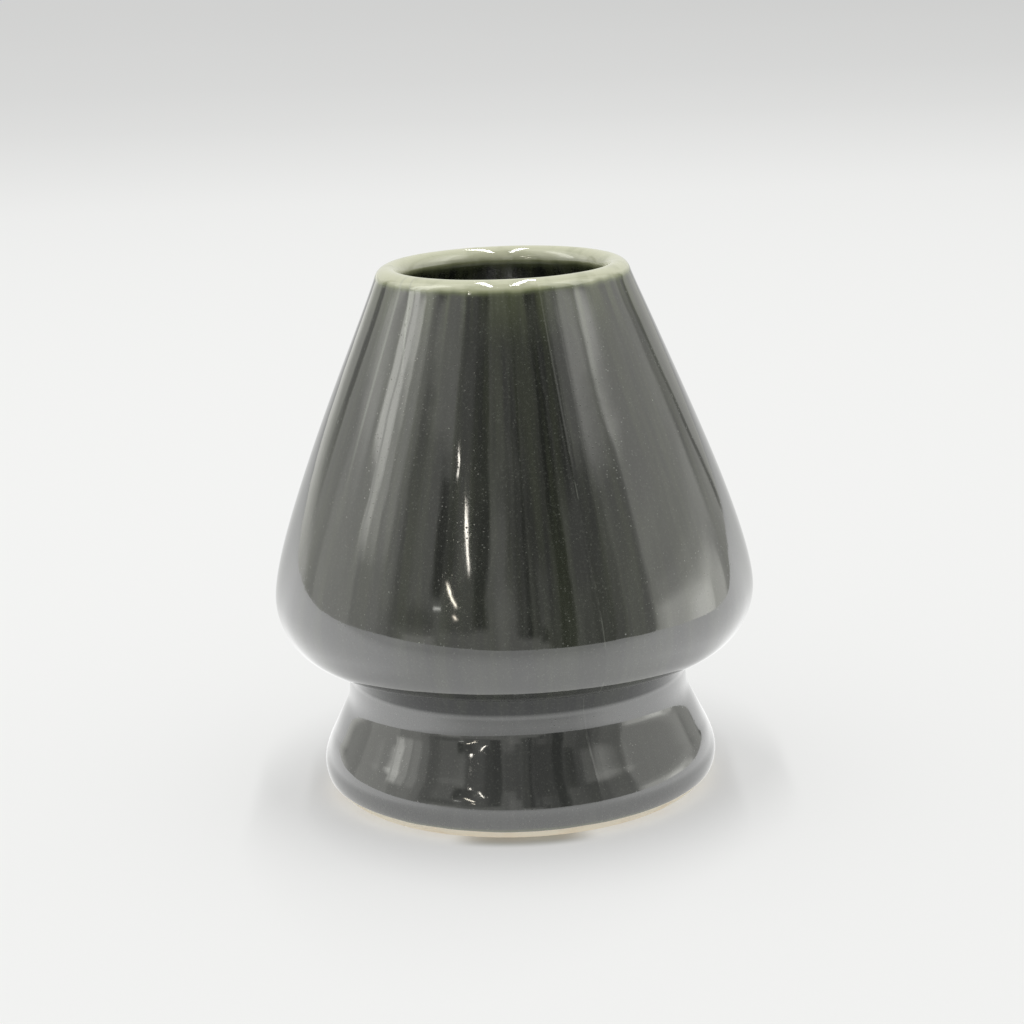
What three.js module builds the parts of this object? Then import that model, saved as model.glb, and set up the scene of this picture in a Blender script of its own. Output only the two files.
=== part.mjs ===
// Tea whisk holder: a slip-cast ceramic stand that keeps a bamboo tea whisk in shape while it dries.
// Millimetres, +Z up. The origin is the centre of the foot ring, on the surface that it stands on.
// The clay body is one casting, hollow right through. Two glaze coats lie on it, face to face.
// An outline point is a Vector2 of radius and height. Outlines run up the outside, over the lip and
// down the inside, so the clay is always on the left.

import * as THREE from "three";

// The glazed outside, from the foot up. Each height above the crease is counted from the one before.
const overallHeight = 71;
const ringRadius = 24;
const footRadius = 26.65;
const footWidestHeight = 3.95;
const instepRadius = 25.15;
const instepHeight = 8.3;
const creaseRadius = 22.75;
const creaseHeight = 15.95;
const neckFlare = 1.45;
const neckHeight = 2.85;
const rollInset = 2.75;
const undersideRise = 1.9;
const bulgeRadius = 32.15;
const bulgeRise = 6.3;
const lipRadius = 15.12;
const lipThickness = 3.46;

// The slopes of that outside, counted from straight up or, on the underside, from level.
const instepLean = THREE.MathUtils.degToRad(26);
const creaseLean = THREE.MathUtils.degToRad(-6);
const neckLean = THREE.MathUtils.degToRad(22);
const undersideLean = THREE.MathUtils.degToRad(6);
const rollLean = THREE.MathUtils.degToRad(39);
const coneLean = THREE.MathUtils.degToRad(17.5);

// How far each curve holds its direction at the place named.
const footHold = 1.7;
const instepLowHold = 0.75;
const instepHighHold = 5.8;
const creaseHold = 3.8;
const neckHold = 1.5;
const neckFlareHold = 0.9;
const undersideHold = 3;
const rollInnerHold = 1.2;
const rollOuterHold = 1.5;
const bulgeHold = 3;
const shoulderHold = 8.5;
const coneHold = 4;

// The casting's wall, its hollow and the flat ring that it stands on.
const clayWall = 2.9;
const hollowNeckRise = 1.2;
const hollowBulgeHold = 3.6;
const hollowNeckHold = 6;
const hollowThroatHold = 5;
const hollowInstepHold = 3;
const hollowToeHold = 0.9;
const hollowFootHold = 1.2;
const ringWidth = 2.7;
const ringInnerHold = 1.6;
const ringInnerLean = THREE.MathUtils.degToRad(40);

// The glaze, thin where the body is sharp and pooled in the waist.
const glazeOnLip = 0.2;
const glazeOnBulge = 0.42;
const glazeInWaist = 0.6;
const glazeOnFoot = 0.42;
const glazeAtEdge = 0.25;
const glazeInHollow = 0.35;
const glazeLineHeight = 1.8;

// How finely the shape is faceted.
const turnSteps = 48;
const edgeSteps = 3;
const footLowSteps = 4;
const footHighSteps = 6;
const neckSteps = 3;
const undersideSteps = 3;
const sideSteps = 4;
const coneSteps = 8;
const lipHalfSteps = 4;
const hollowConeSteps = 6;
const hollowBulgeSteps = 7;
const hollowThroatSteps = 4;
const hollowFootSteps = 2;
const ringSteps = 3;

// A direction in the outline that leans out from straight up by the angle given.
function leaning(angle) {
  return new THREE.Vector2(Math.sin(angle), Math.cos(angle));
}

const upward = leaning(0);
const downward = leaning(Math.PI);

// A smooth stretch that leaves one place and arrives at the next in the directions given.
function stretch(from, leaving, leavingHold, to, arriving, arrivingHold, steps) {
  const near = from.clone().addScaledVector(leaving, leavingHold);
  const far = to.clone().addScaledVector(arriving, -arrivingHold);
  return new THREE.CubicBezierCurve(from, near, far, to).getPoints(steps);
}

// A round stretch about a centre, anticlockwise between two angles counted from straight out.
function arc(centre, radius, fromAngle, toAngle, steps) {
  return new THREE.EllipseCurve(centre.x, centre.y, radius, radius, fromAngle, toAngle).getPoints(steps);
}

// Joins stretches that share their end points, keeping each shared point once.
function chain(stretches) {
  return stretches.flatMap((points, index) => (index ? points.slice(1) : points));
}

// Thicknesses that go evenly from one value to another along a stretch.
function grading(points, first, last) {
  return points.map((point, index) => THREE.MathUtils.lerp(first, last, index / (points.length - 1)));
}

// The outline moved square to itself, to the left by the distance given for each point.
function shifted(points, distances) {
  return points.map((point, index) => {
    const before = points[Math.max(index - 1, 0)];
    const after = points[Math.min(index + 1, points.length - 1)];
    const along = after.clone().sub(before).normalize();
    const left = new THREE.Vector2(-along.y, along.x);
    return point.clone().addScaledVector(left, distances[index]);
  });
}

// The foot's round edge: the bare clay's arc meets the ground at the ring and turns upright at the
// foot's widest place, and the glazed arc lies outside it about the same centre.
const edgeInset = footRadius - glazeAtEdge - ringRadius;
const bareEdgeRadius = (edgeInset ** 2 + footWidestHeight ** 2) / (2 * edgeInset);
const footEdgeRadius = bareEdgeRadius + glazeAtEdge;
const edgeCentre = new THREE.Vector2(footRadius - footEdgeRadius, footWidestHeight);
const ringAngle = -Math.asin(footWidestHeight / bareEdgeRadius);
const glazeLineAngle = -Math.asin((footWidestHeight - glazeLineHeight) / footEdgeRadius);

// Places and directions that the rest of the outside passes through.
const footWidest = new THREE.Vector2(footRadius, footWidestHeight);
const instep = new THREE.Vector2(instepRadius, instepHeight);
const crease = new THREE.Vector2(creaseRadius, creaseHeight);
const neckTop = new THREE.Vector2(creaseRadius + neckFlare, creaseHeight + neckHeight);
const roll = new THREE.Vector2(bulgeRadius - rollInset, neckTop.y + undersideRise);
const bulge = new THREE.Vector2(bulgeRadius, roll.y + bulgeRise);
const lipRound = lipThickness / 2;
const lipCentre = new THREE.Vector2(lipRadius, overallHeight - lipRound);
const upInstep = leaning(-instepLean);
const intoCrease = leaning(creaseLean);
const outNeck = leaning(neckLean);
const outUnderside = leaning(Math.PI / 2 - undersideLean);
const outRoll = leaning(Math.PI / 2 - rollLean);
const upCone = leaning(-coneLean);
const squareToCone = new THREE.Vector2(Math.cos(coneLean), Math.sin(coneLean));
const lipStart = lipCentre.clone().addScaledVector(squareToCone, lipRound);
const lipTopAngle = Math.PI / 2;
const lipInnerAngle = Math.PI + coneLean;

// Each stretch of the glazed outside, with the glaze's thickness at its two ends.
const outsideStretches = [
  {
    points: arc(edgeCentre, footEdgeRadius, glazeLineAngle, 0, edgeSteps),
    coat: [glazeAtEdge, glazeOnFoot],
  },
  {
    points: stretch(footWidest, upward, footHold, instep, upInstep, instepLowHold, footLowSteps),
    coat: [glazeOnFoot, glazeOnFoot],
  },
  {
    points: stretch(instep, upInstep, instepHighHold, crease, intoCrease, creaseHold, footHighSteps),
    coat: [glazeOnFoot, glazeInWaist],
  },
  {
    points: stretch(crease, outNeck, neckHold, neckTop, outUnderside, neckFlareHold, neckSteps),
    coat: [glazeInWaist, glazeInWaist],
  },
  {
    points: stretch(neckTop, outUnderside, undersideHold, roll, outRoll, rollInnerHold, undersideSteps),
    coat: [glazeInWaist, glazeOnBulge],
  },
  {
    points: stretch(roll, outRoll, rollOuterHold, bulge, upward, bulgeHold, sideSteps),
    coat: [glazeOnBulge, glazeOnBulge],
  },
  {
    points: stretch(bulge, upward, shoulderHold, lipStart, upCone, coneHold, coneSteps),
    coat: [glazeOnBulge, glazeOnLip],
  },
  {
    points: arc(lipCentre, lipRound, coneLean, lipTopAngle, lipHalfSteps),
    coat: [glazeOnLip, glazeOnLip],
  },
  {
    points: arc(lipCentre, lipRound, lipTopAngle, lipInnerAngle, lipHalfSteps),
    coat: [glazeOnLip, glazeOnLip],
  },
];
const glazedOutside = chain(outsideStretches.map((part) => part.points));
const coatThickness = chain(outsideStretches.map((part) => grading(part.points, ...part.coat)));

// The clay under that coat, and the bare band from the foot ring up to the glaze line.
const coatedClay = shifted(glazedOutside, coatThickness);
const bareBand = arc(edgeCentre, bareEdgeRadius, ringAngle, glazeLineAngle, ringSteps);

// The clay inside: down the cone's hollow, in through the neck and out again under the instep, where
// the foot slopes most.
const hollowTop = coatedClay[coatedClay.length - 1];
const hollowBulge = new THREE.Vector2(bulgeRadius - glazeOnBulge - clayWall, bulge.y);
const hollowNeck = new THREE.Vector2(creaseRadius - glazeInWaist - clayWall, creaseHeight + hollowNeckRise);
const hollowFoot = new THREE.Vector2(footRadius - glazeOnFoot - clayWall, footWidestHeight);
const squareToInstep = new THREE.Vector2(Math.cos(instepLean), Math.sin(instepLean));
const hollowInstep = instep.clone().addScaledVector(squareToInstep, -glazeOnFoot - clayWall);
const ringInner = new THREE.Vector2(ringRadius - ringWidth, 0);
const downCone = upCone.clone().negate();
const downInstep = upInstep.clone().negate();
const intoRing = leaning(Math.PI + ringInnerLean);

const linedClay = chain([
  stretch(hollowTop, downCone, coneHold, hollowBulge, downward, shoulderHold, hollowConeSteps),
  stretch(hollowBulge, downward, hollowBulgeHold, hollowNeck, downward, hollowNeckHold, hollowBulgeSteps),
  stretch(hollowNeck, downward, hollowThroatHold,
    hollowInstep, downInstep, hollowInstepHold, hollowThroatSteps),
  stretch(hollowInstep, downInstep, hollowToeHold, hollowFoot, downward, hollowFootHold, hollowFootSteps),
]);
const bareHeel = stretch(hollowFoot, downward, ringInnerHold, ringInner, intoRing, ringInnerHold, ringSteps);
const wholeClay = [...bareBand.slice(0, -1), ...coatedClay, ...linedClay.slice(1), ...bareHeel.slice(1)];

// The lining takes over where the outer coat ends, at the inside of the lip.
const lining = [
  glazedOutside[glazedOutside.length - 1],
  ...shifted(linedClay, grading(linedClay, -glazeInHollow, -glazeAtEdge)).slice(1),
];

// A closed outline turned about the upright axis.
function turned(name, outline, material) {
  const geometry = new THREE.LatheGeometry([...outline, outline[0]], turnSteps);
  geometry.rotateX(Math.PI / 2);
  const mesh = new THREE.Mesh(geometry, material);
  mesh.name = name;
  return mesh;
}

const bareClay = new THREE.MeshStandardMaterial({ color: 0xd8c6ad, roughness: 0.85, metalness: 0 });
const darkGlaze = new THREE.MeshStandardMaterial({ color: 0x2c2f2a, roughness: 0.12, metalness: 0 });
const liningGlaze = new THREE.MeshStandardMaterial({ color: 0x34382d, roughness: 0.15, metalness: 0 });

const whiskHolder = new THREE.Group();
whiskHolder.add(
  turned("clay_body", wholeClay, bareClay),
  turned("outer_glaze", [...glazedOutside, ...coatedClay.toReversed()], darkGlaze),
  turned("inner_glaze", [...lining, ...linedClay.toReversed()], liningGlaze),
);

export default whiskHolder;
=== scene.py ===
"""Tea whisk holder: a slip-cast ceramic stand in a dark, glossy glaze.

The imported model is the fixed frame. Its three nodes are replaced by finely turned shells with the same
outlines: the fired clay, the dipped outer coat and the poured lining. All lengths are in metres, and an
outline point is a 2-D vector of radius and height.
"""

import sys

import logging
import math
from collections.abc import Callable
from dataclasses import dataclass, field
from enum import Enum

import bpy
from mathutils import Matrix, Vector, noise
from mathutils.geometry import interpolate_bezier


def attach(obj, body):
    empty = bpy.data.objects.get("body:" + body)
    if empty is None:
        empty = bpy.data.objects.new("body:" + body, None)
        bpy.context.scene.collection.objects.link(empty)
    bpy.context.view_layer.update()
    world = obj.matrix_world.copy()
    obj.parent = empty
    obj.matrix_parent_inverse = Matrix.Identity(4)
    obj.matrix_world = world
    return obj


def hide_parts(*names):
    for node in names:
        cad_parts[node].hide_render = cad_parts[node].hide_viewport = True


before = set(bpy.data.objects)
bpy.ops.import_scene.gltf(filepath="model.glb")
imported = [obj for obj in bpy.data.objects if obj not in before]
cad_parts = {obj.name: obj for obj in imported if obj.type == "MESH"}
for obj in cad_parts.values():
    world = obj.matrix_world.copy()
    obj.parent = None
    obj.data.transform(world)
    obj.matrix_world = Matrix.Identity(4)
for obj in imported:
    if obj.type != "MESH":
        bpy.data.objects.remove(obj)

MM = 0.001
DRAFT_POINTS = 24
Colour = tuple[float, float, float]
# Where a change begins and ends, and then its two results where they aren't 0 and 1.
Span = tuple[float, ...]
Piece = bpy.types.Object
Socket = bpy.types.NodeSocket
log = logging.getLogger("tea_whisk_holder")


class Seen(Enum):
    """Which rays a piece of the stage shows itself to."""

    BY_ALL = "everything"
    BY_GLAZE = "reflections in the glaze alone"
    BY_EYE_AND_LIGHT = "the camera and the soft light, but not reflections"


def leaning(degrees: float) -> Vector:
    """The direction in an outline that leans out from straight up by the angle given."""
    angle = math.radians(degrees)
    return Vector((math.sin(angle), math.cos(angle)))


def length_of(points: list[Vector]) -> float:
    """Adds up the length of a run of outline points."""
    return sum((after - before).length for before, after in zip(points, points[1:]))


def stretch(start: Vector, leaves: Vector, hold_after: float, end: Vector, arrives: Vector,
            hold_before: float, spacing: float) -> list[Vector]:
    """A smooth stretch of outline between two places.

    Args:
        start: The first place.
        leaves: The direction at the first place.
        hold_after: How far the curve holds that direction.
        end: The last place.
        arrives: The direction at the last place.
        hold_before: How far the curve holds that direction before the end.
        spacing: The distance between points, about.

    Returns:
        The points, with both ends.
    """
    near = start + leaves * hold_after
    far = end - arrives * hold_before
    draft = interpolate_bezier(start, near, far, end, DRAFT_POINTS)
    rows = max(2, math.ceil(length_of(draft) / spacing))
    return [Vector(point) for point in interpolate_bezier(start, near, far, end, rows + 1)]


def arc(centre: Vector, radius: float, first: float, last: float, spacing: float) -> list[Vector]:
    """A round stretch of outline about a centre.

    Args:
        centre: The centre of the circle.
        radius: Its radius.
        first: The angle that it starts at, in radians from straight out, anticlockwise.
        last: The angle that it ends at.
        spacing: The distance between points, about.

    Returns:
        The points, with both ends.
    """
    rows = max(2, math.ceil(abs(last - first) * radius / spacing))
    angles = [first + (last - first) * row / rows for row in range(rows + 1)]
    return [centre + radius * Vector((math.cos(angle), math.sin(angle))) for angle in angles]


def shifted(points: list[Vector], distances: list[float]) -> list[Vector]:
    """Moves an outline square to itself, to the left.

    Args:
        points: The outline's points.
        distances: How far each one moves.

    Returns:
        The moved points.
    """
    moved = []
    for index, point in enumerate(points):
        before = points[max(index - 1, 0)]
        after = points[min(index + 1, len(points) - 1)]
        along = (after - before).normalized()
        moved.append(point + Vector((-along.y, along.x)) * distances[index])
    return moved


def thinned(points: list[Vector], keep_every: int) -> list[Vector]:
    """Leaves out points of a hidden face, but keeps the first and the last."""
    return [*points[:-1:keep_every], points[-1]]


@dataclass(frozen=True)
class Casting:
    """Sizes of the casting, its hollow and its coats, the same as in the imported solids.

    A lean is in degrees from straight up, but from level on the underside and the roll above it. A hold
    is how far a curve keeps its direction at the place named.
    """

    height: float = 71 * MM
    ring_radius: float = 24 * MM
    foot_radius: float = 26.65 * MM
    foot_widest_height: float = 3.95 * MM
    instep_radius: float = 25.15 * MM
    instep_height: float = 8.3 * MM
    crease_radius: float = 22.75 * MM
    crease_height: float = 15.95 * MM
    neck_flare: float = 1.45 * MM
    neck_height: float = 2.85 * MM
    roll_inset: float = 2.75 * MM
    underside_rise: float = 1.9 * MM
    bulge_radius: float = 32.15 * MM
    bulge_rise: float = 6.3 * MM
    lip_radius: float = 15.12 * MM
    lip_thickness: float = 3.46 * MM

    instep_lean: float = 26
    crease_lean: float = -6
    neck_lean: float = 22
    underside_lean: float = 6
    roll_lean: float = 39
    cone_lean: float = 17.5

    foot_hold: float = 1.7 * MM
    instep_low_hold: float = 0.75 * MM
    instep_high_hold: float = 5.8 * MM
    crease_hold: float = 3.8 * MM
    neck_hold: float = 1.5 * MM
    neck_flare_hold: float = 0.9 * MM
    underside_hold: float = 3 * MM
    roll_inner_hold: float = 1.2 * MM
    roll_outer_hold: float = 1.5 * MM
    bulge_hold: float = 3 * MM
    shoulder_hold: float = 8.5 * MM
    cone_hold: float = 4 * MM

    clay_wall: float = 2.9 * MM
    hollow_neck_rise: float = 1.2 * MM
    hollow_bulge_hold: float = 3.6 * MM
    hollow_neck_hold: float = 6 * MM
    hollow_throat_hold: float = 5 * MM
    hollow_instep_hold: float = 3 * MM
    hollow_toe_hold: float = 0.9 * MM
    hollow_foot_hold: float = 1.2 * MM
    ring_width: float = 2.7 * MM
    ring_inner_hold: float = 1.6 * MM
    ring_inner_lean: float = 40

    glaze_on_lip: float = 0.2 * MM
    glaze_on_bulge: float = 0.42 * MM
    glaze_in_waist: float = 0.6 * MM
    glaze_on_foot: float = 0.42 * MM
    glaze_at_edge: float = 0.25 * MM
    glaze_in_hollow: float = 0.35 * MM
    glaze_line_height: float = 1.8 * MM

    @property
    def bare_edge_radius(self) -> float:
        """Radius of the bare clay's round edge, which meets the ground at the ring."""
        inset = self.foot_radius - self.glaze_at_edge - self.ring_radius
        return (inset ** 2 + self.foot_widest_height ** 2) / (2 * inset)

    @property
    def edge_radius(self) -> float:
        """Radius of the glazed round edge about the same centre."""
        return self.bare_edge_radius + self.glaze_at_edge

    @property
    def edge_centre(self) -> Vector:
        """Centre of the foot's round edge."""
        return Vector((self.foot_radius - self.edge_radius, self.foot_widest_height))

    @property
    def glaze_line_angle(self) -> float:
        """Angle of the glaze line about that centre."""
        return -math.asin((self.foot_widest_height - self.glaze_line_height) / self.edge_radius)

    @property
    def crease(self) -> Vector:
        """The sharp waist, where the neck meets the foot."""
        return Vector((self.crease_radius, self.crease_height))

    @property
    def underside_height(self) -> float:
        """Height where the bulge's underside turns up into its round edge."""
        return self.crease_height + self.neck_height + self.underside_rise

    @property
    def instep(self) -> Vector:
        """The steepest place of the foot's top."""
        return Vector((self.instep_radius, self.instep_height))

    @property
    def lip_round(self) -> float:
        """Radius of the lip's round top."""
        return self.lip_thickness / 2

    @property
    def lip_centre(self) -> Vector:
        """Centre of the lip's round top."""
        return Vector((self.lip_radius, self.height - self.lip_round))

    def outside(self, spacing: float) -> tuple[list[Vector], list[float]]:
        """The glazed outside, from the glaze line up and over the lip to its inner side.

        Args:
            spacing: The distance between points, about.

        Returns:
            The points, and the coat's thickness at each.
        """
        upward = leaning(0)
        underside = leaning(90 - self.underside_lean)
        out_roll = leaning(90 - self.roll_lean)
        up_instep = leaning(-self.instep_lean)
        up_cone = leaning(-self.cone_lean)
        foot_widest = Vector((self.foot_radius, self.foot_widest_height))
        neck_top = self.crease + Vector((self.neck_flare, self.neck_height))
        roll = Vector((self.bulge_radius - self.roll_inset, neck_top.y + self.underside_rise))
        bulge = Vector((self.bulge_radius, roll.y + self.bulge_rise))
        tilt = math.radians(self.cone_lean)
        lip_start = self.lip_centre + self.lip_round * Vector((math.cos(tilt), math.sin(tilt)))
        parts = [
            (arc(self.edge_centre, self.edge_radius, self.glaze_line_angle, 0, spacing),
             self.glaze_at_edge, self.glaze_on_foot),
            (stretch(foot_widest, upward, self.foot_hold,
                     self.instep, up_instep, self.instep_low_hold, spacing),
             self.glaze_on_foot, self.glaze_on_foot),
            (stretch(self.instep, up_instep, self.instep_high_hold,
                     self.crease, leaning(self.crease_lean), self.crease_hold, spacing),
             self.glaze_on_foot, self.glaze_in_waist),
            (stretch(self.crease, leaning(self.neck_lean), self.neck_hold,
                     neck_top, underside, self.neck_flare_hold, spacing),
             self.glaze_in_waist, self.glaze_in_waist),
            (stretch(neck_top, underside, self.underside_hold,
                     roll, out_roll, self.roll_inner_hold, spacing),
             self.glaze_in_waist, self.glaze_on_bulge),
            (stretch(roll, out_roll, self.roll_outer_hold, bulge, upward, self.bulge_hold, spacing),
             self.glaze_on_bulge, self.glaze_on_bulge),
            (stretch(bulge, upward, self.shoulder_hold, lip_start, up_cone, self.cone_hold, spacing),
             self.glaze_on_bulge, self.glaze_on_lip),
            (arc(self.lip_centre, self.lip_round, tilt, math.pi + tilt, spacing / 2),
             self.glaze_on_lip, self.glaze_on_lip),
        ]
        points = [parts[0][0][0]]
        thickness = [self.glaze_at_edge]
        for run, first, last in parts:
            steps = len(run) - 1
            points += run[1:]
            thickness += [first + (last - first) * step / steps for step in range(1, steps + 1)]
        return points, thickness

    def lined_hollow(self, spacing: float) -> list[Vector]:
        """The clay under the lining, from the inside of the lip down to inside the foot.

        Args:
            spacing: The distance between points, about.

        Returns:
            The points.
        """
        downward = leaning(180)
        down_cone = -leaning(-self.cone_lean)
        down_instep = -leaning(-self.instep_lean)
        outside, thickness = self.outside(spacing)
        top = shifted(outside, thickness)[-1]
        bulge = Vector((self.bulge_radius - self.glaze_on_bulge - self.clay_wall,
                        self.underside_height + self.bulge_rise))
        neck = Vector((self.crease_radius - self.glaze_in_waist - self.clay_wall,
                       self.crease_height + self.hollow_neck_rise))
        square = Vector((-down_instep.y, down_instep.x))
        instep = self.instep - square * (self.glaze_on_foot + self.clay_wall)
        upper = stretch(top, down_cone, self.cone_hold, bulge, downward, self.shoulder_hold, spacing)
        middle = stretch(bulge, downward, self.hollow_bulge_hold,
                         neck, downward, self.hollow_neck_hold, spacing)
        throat = stretch(neck, downward, self.hollow_throat_hold,
                         instep, down_instep, self.hollow_instep_hold, spacing)
        toe = stretch(instep, down_instep, self.hollow_toe_hold,
                      self.hollow_foot, downward, self.hollow_foot_hold, spacing)
        return [*upper, *middle[1:], *throat[1:], *toe[1:]]

    @property
    def hollow_foot(self) -> Vector:
        """Where the lining ends inside the foot."""
        return Vector((self.foot_radius - self.glaze_on_foot - self.clay_wall, self.foot_widest_height))

    def bare_heel(self, spacing: float) -> list[Vector]:
        """The bare clay inside the foot, from the lining's end down to the ring."""
        ring_inner = Vector((self.ring_radius - self.ring_width, 0))
        return stretch(self.hollow_foot, leaning(180), self.ring_inner_hold,
                       ring_inner, leaning(180 + self.ring_inner_lean), self.ring_inner_hold, spacing)

    def bare_band(self, spacing: float) -> list[Vector]:
        """The bare clay's round edge, from the ring up to the glaze line."""
        ring_angle = -math.asin(self.foot_widest_height / self.bare_edge_radius)
        return arc(self.edge_centre, self.bare_edge_radius, ring_angle, self.glaze_line_angle, spacing)


class Bench:
    """Selecting and turning, as done by hand in edit mode."""

    weld = 0.001 * MM
    ring_reach = 0.02 * MM
    bevel_steps = 3
    sharp_degrees = 38

    @staticmethod
    def clear() -> None:
        """Deselects everything."""
        if bpy.context.mode != "OBJECT":
            bpy.ops.object.mode_set(mode="OBJECT")
        bpy.ops.object.select_all(action="DESELECT")

    @staticmethod
    def take(piece: Piece) -> None:
        """Makes one piece the only selected and active one.

        Args:
            piece: The piece.
        """
        Bench.clear()
        piece.select_set(True)
        bpy.context.view_layer.objects.active = piece

    @staticmethod
    def turn(name: str, outline: list[Vector], columns: int) -> Piece:
        """Draws a closed outline by extruding one point, and spins it about the upright axis.

        Args:
            name: The piece's name.
            outline: The outline's points, without the first one repeated.
            columns: The number of steps round the circle.

        Returns:
            The closed, turned piece.
        """
        Bench.clear()
        first = outline[0]
        bpy.ops.mesh.primitive_plane_add(size=MM, location=(first.x, 0, first.y))
        piece = bpy.context.active_object
        piece.name = name
        piece.data.name = name
        bpy.ops.object.transform_apply(location=True, rotation=True, scale=True)
        bpy.ops.object.mode_set(mode="EDIT")
        bpy.ops.mesh.select_mode(type="VERT")
        bpy.ops.mesh.select_all(action="SELECT")
        bpy.ops.mesh.merge(type="CENTER")
        for before, after in zip(outline, [*outline[1:], first]):
            step = (after.x - before.x, 0, after.y - before.y)
            bpy.ops.mesh.extrude_region_move(TRANSFORM_OT_translate={"value": step})
        bpy.ops.mesh.select_all(action="SELECT")
        bpy.ops.mesh.remove_doubles(threshold=Bench.weld)
        bpy.ops.mesh.select_all(action="SELECT")
        bpy.ops.mesh.spin(steps=columns, angle=math.tau, center=(0, 0, 0), axis=(0, 0, 1),
                          use_auto_merge=True)
        bpy.ops.mesh.select_all(action="SELECT")
        bpy.ops.mesh.remove_doubles(threshold=Bench.weld)
        bpy.ops.mesh.normals_make_consistent(inside=False)
        bpy.ops.object.mode_set(mode="OBJECT")
        return piece

    @staticmethod
    def pick_edges(piece: Piece, wanted: Callable[[Vector, Vector], bool]) -> int:
        """Selects the edges that a test on their two ends picks, and stays in edit mode.

        Args:
            piece: The piece to select on.
            wanted: The test, given an edge's two ends.

        Returns:
            The number of edges selected.
        """
        Bench.take(piece)
        bpy.ops.object.mode_set(mode="EDIT")
        bpy.ops.mesh.select_mode(type="EDGE")
        bpy.ops.mesh.select_all(action="DESELECT")
        bpy.ops.object.mode_set(mode="OBJECT")
        places = [vertex.co for vertex in piece.data.vertices]
        found = 0
        for edge in piece.data.edges:
            first, last = edge.vertices
            edge.select = wanted(places[first], places[last])
            found += edge.select
        bpy.ops.object.mode_set(mode="EDIT")
        return found

    @staticmethod
    def soften_ring(piece: Piece, place: Vector, width: float) -> None:
        """Bevels the ring of edges that runs round the piece through one outline point.

        Args:
            piece: The turned piece.
            place: The outline point.
            width: How far the bevel reaches.
        """
        def on_ring(first: Vector, last: Vector) -> bool:
            """Whether both ends lie on the ring."""
            return all(abs(end.z - place.y) < Bench.ring_reach
                       and abs(math.hypot(end.x, end.y) - place.x) < Bench.ring_reach
                       for end in (first, last))

        found = Bench.pick_edges(piece, on_ring)
        bpy.ops.mesh.bevel(offset=width, segments=Bench.bevel_steps, affect="EDGES", clamp_overlap=True)
        bpy.ops.object.mode_set(mode="OBJECT")
        log.info("%s: softened a ring of %d edges", piece.name, found)

    @staticmethod
    def smooth(piece: Piece) -> None:
        """Shades a piece smooth but for its sharp edges."""
        Bench.take(piece)
        bpy.ops.object.shade_smooth_by_angle(angle=math.radians(Bench.sharp_degrees))


@dataclass(frozen=True)
class Relief:
    """A slow unevenness of the surface, pressed in along its normals."""

    name: str
    grain: float
    depth: float
    upright: float = 1

    def press(self, piece: Piece, group: str) -> None:
        """Presses the relief into a piece where its vertex group has weight.

        Args:
            piece: The piece.
            group: The vertex group that limits it.
        """
        texture = bpy.data.textures.new(self.name, type="CLOUDS")
        texture.noise_scale = self.grain
        texture.noise_depth = 1
        Bench.clear()
        bpy.ops.object.empty_add(location=(0, 0, 0))
        ruler = bpy.context.active_object
        ruler.scale = (1, 1, self.upright)
        Bench.take(piece)
        modifier = piece.modifiers.new(self.name, "DISPLACE")
        modifier.texture = texture
        modifier.texture_coords = "OBJECT"
        modifier.texture_coords_object = ruler
        modifier.mid_level = 0.5
        modifier.strength = self.depth
        modifier.vertex_group = group
        bpy.ops.object.modifier_apply(modifier=modifier.name)
        bpy.data.objects.remove(ruler)
        bpy.data.textures.remove(texture)


@dataclass(frozen=True)
class MouldSeam:
    """The fettled line that the two halves of the plaster mould left on both sides of the casting.

    Its azimuth at the middle height is in degrees from the front towards +X, and its twist in degrees
    for each metre up.
    """

    azimuth: float = 18.4
    twist: float = -110
    middle_height: float = 41 * MM
    ridge: float = 0.008 * MM
    half_width: float = 0.22 * MM
    band: float = 4.5
    divisions: int = 3
    least_turn: float = 1e-4

    @property
    def square(self) -> Vector:
        """The unit vector square to the mould's parting plane."""
        angle = math.radians(self.azimuth)
        return Vector((math.cos(angle), math.sin(angle), 0))

    def away(self, place: Vector) -> float:
        """How far a place lies from the seam, across the surface, on either side of the casting."""
        angle = math.radians(self.azimuth + self.twist * (place.z - self.middle_height))
        return abs(place.x * math.cos(angle) + place.y * math.sin(angle))

    def raise_on(self, piece: Piece, group: str) -> None:
        """Divides the columns near the seam and raises a thin ridge along it.

        Args:
            piece: The turned coat.
            group: The vertex group that marks the faces that show.
        """
        reach = math.sin(math.radians(self.band))

        def level_and_near(first: Vector, last: Vector) -> bool:
            """Whether an edge runs round the piece, within the band beside the seam.

            Args:
                first: One end of the edge.
                last: The other end.

            Returns:
                Whether it is divided.
            """
            across = abs(((first + last) / 2).normalized().dot(self.square))
            out = math.hypot(first.x, first.y)
            turn = abs(first.cross(last).z)
            return (across * (first + last).length / 2 < reach * out
                    and turn > self.least_turn * out * out)

        found = Bench.pick_edges(piece, level_and_near)
        bpy.ops.mesh.subdivide(number_cuts=self.divisions)
        bpy.ops.object.mode_set(mode="OBJECT")
        seam = piece.vertex_groups.new(name="mould seam")
        shown = piece.vertex_groups[group].index
        for vertex in piece.data.vertices:
            weight = sum(entry.weight for entry in vertex.groups if entry.group == shown)
            away = self.away(vertex.co) / self.half_width
            if weight and away < 1:
                seam.add([vertex.index], weight * (1 - away * away) ** 2, "REPLACE")
        Bench.take(piece)
        modifier = piece.modifiers.new("mould seam", "DISPLACE")
        modifier.mid_level = 0
        modifier.strength = self.ridge
        modifier.vertex_group = seam.name
        bpy.ops.object.modifier_apply(modifier=modifier.name)
        log.info("%s: raised the mould seam over %d divided edges", piece.name, found)


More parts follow.
